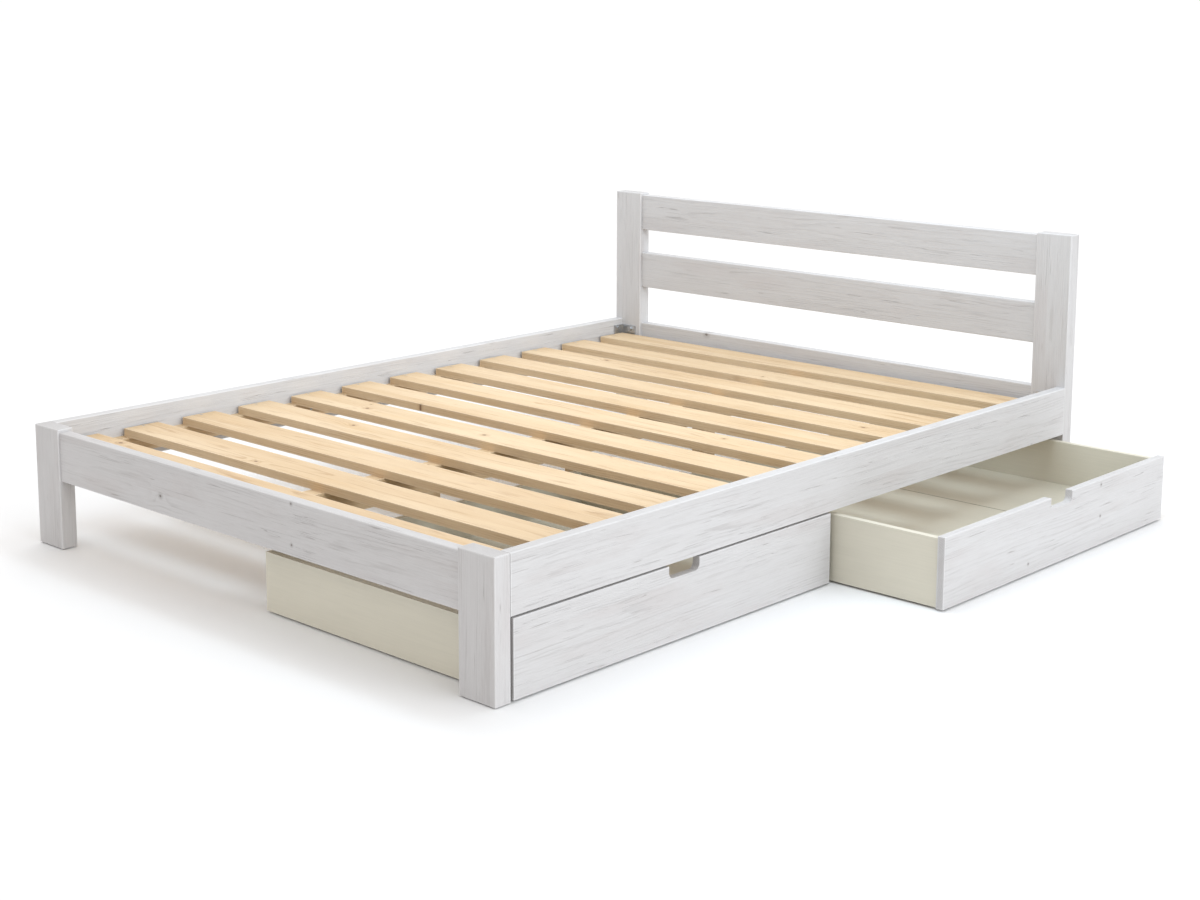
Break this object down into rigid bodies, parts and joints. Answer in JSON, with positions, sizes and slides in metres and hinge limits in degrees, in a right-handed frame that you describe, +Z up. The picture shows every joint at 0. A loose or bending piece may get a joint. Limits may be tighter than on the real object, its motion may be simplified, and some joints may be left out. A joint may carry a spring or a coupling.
{
  "type": "bed frame",
  "caption": "Whitewashed wooden bed frame with a railed headboard, slatted base and under-bed storage drawers that roll out on casters from one long side.",
  "frame": {"origin": "on the floor under the middle centre leg, at the middle of the bed", "axes": "+X towards the long side with the drawers, +Y towards the headboard, +Z up"},
  "size_m": [1.872, 2.113, 0.695],
  "materials": {
    "whitewashed_pine": "matt whitewashed",
    "plain_pine": "planed, untreated",
    "cream_board": "satin foil",
    "beech_dowel": "untreated",
    "zinc_steel": "zinc plated",
    "black_plastic": "matt",
    "black_rubber": "matt"
  },
  "bodies": {
    "frame": {"foot_post_left": "whitewashed_pine", "foot_post_right": "whitewashed_pine", "head_post_left": "whitewashed_pine", "head_post_right": "whitewashed_pine", "foot_rail": "whitewashed_pine", "side_rail_left": "whitewashed_pine", "side_rail_right": "whitewashed_pine", "head_rail_top": "whitewashed_pine", "head_rail_middle": "whitewashed_pine", "head_rail_lower": "whitewashed_pine", "ledger_left": "plain_pine", "ledger_right": "plain_pine", "centre_beam": "plain_pine", "beam_hangers": "zinc_steel", "centre_leg_foot": "plain_pine", "centre_leg_middle": "plain_pine", "centre_leg_head": "plain_pine", "rail_brackets": "zinc_steel", "bracket_bolts": "zinc_steel", "frame_screws": "zinc_steel", "floor_glides": "black_plastic", "drawer_bumpers": "black_rubber", "slat_1": "plain_pine", "slat_2": "plain_pine", "slat_3": "plain_pine", "slat_4": "plain_pine", "slat_5": "plain_pine", "slat_6": "plain_pine", "slat_7": "plain_pine", "slat_8": "plain_pine", "slat_9": "plain_pine", "slat_10": "plain_pine", "slat_11": "plain_pine", "slat_12": "plain_pine"},
    "foot_drawer": {"foot_drawer_front": "whitewashed_pine", "foot_drawer_side_foot": "cream_board", "foot_drawer_side_head": "cream_board", "foot_drawer_back": "cream_board", "foot_drawer_floor_main": "cream_board", "foot_drawer_floor_end": "cream_board", "foot_drawer_batten": "plain_pine", "foot_drawer_dowels": "beech_dowel", "foot_drawer_caster_forks": "zinc_steel", "foot_drawer_caster_screws": "zinc_steel", "foot_drawer_axles": "zinc_steel"},
    "foot_drawer_front_wheels": {"foot_drawer_front_wheels": "black_plastic"},
    "foot_drawer_rear_wheels": {"foot_drawer_rear_wheels": "black_plastic"},
    "head_drawer": {"head_drawer_front": "whitewashed_pine", "head_drawer_side_foot": "cream_board", "head_drawer_side_head": "cream_board", "head_drawer_back": "cream_board", "head_drawer_floor_main": "cream_board", "head_drawer_floor_end": "cream_board", "head_drawer_batten": "plain_pine", "head_drawer_dowels": "beech_dowel", "head_drawer_caster_forks": "zinc_steel", "head_drawer_caster_screws": "zinc_steel", "head_drawer_axles": "zinc_steel"},
    "head_drawer_front_wheels": {"head_drawer_front_wheels": "black_plastic"},
    "head_drawer_rear_wheels": {"head_drawer_rear_wheels": "black_plastic"}
  },
  "joints": [
    {"name": "foot_drawer_slide", "type": "slide", "parent": "frame", "child": "foot_drawer", "axis": [1, 0, 0], "range_m": [0, 0.65]},
    {"name": "head_drawer_slide", "type": "slide", "parent": "frame", "child": "head_drawer", "axis": [1, 0, 0], "range_m": [-0.292, 0.358]},
    {"name": "foot_drawer_front_roll", "type": "hinge", "parent": "foot_drawer", "child": "foot_drawer_front_wheels", "pos_m": [0.712, -0.5095, 0.018], "axis": [0, 1, 0], "continuous": true},
    {"name": "foot_drawer_rear_roll", "type": "hinge", "parent": "foot_drawer", "child": "foot_drawer_rear_wheels", "pos_m": [0.106, -0.5095, 0.018], "axis": [0, 1, 0], "continuous": true},
    {"name": "head_drawer_front_roll", "type": "hinge", "parent": "head_drawer", "child": "head_drawer_front_wheels", "pos_m": [1.004, 0.4985, 0.018], "axis": [0, 1, 0], "continuous": true},
    {"name": "head_drawer_rear_roll", "type": "hinge", "parent": "head_drawer", "child": "head_drawer_rear_wheels", "pos_m": [0.398, 0.4985, 0.018], "axis": [0, 1, 0], "continuous": true}
  ],
  "couplings": [
    {"joint": "foot_drawer_front_roll", "follows": "foot_drawer_slide", "rad_per_m": 55.556},
    {"joint": "foot_drawer_rear_roll", "follows": "foot_drawer_slide", "rad_per_m": 55.556},
    {"joint": "head_drawer_front_roll", "follows": "head_drawer_slide", "rad_per_m": 55.556},
    {"joint": "head_drawer_rear_roll", "follows": "head_drawer_slide", "rad_per_m": 55.556}
  ]
}
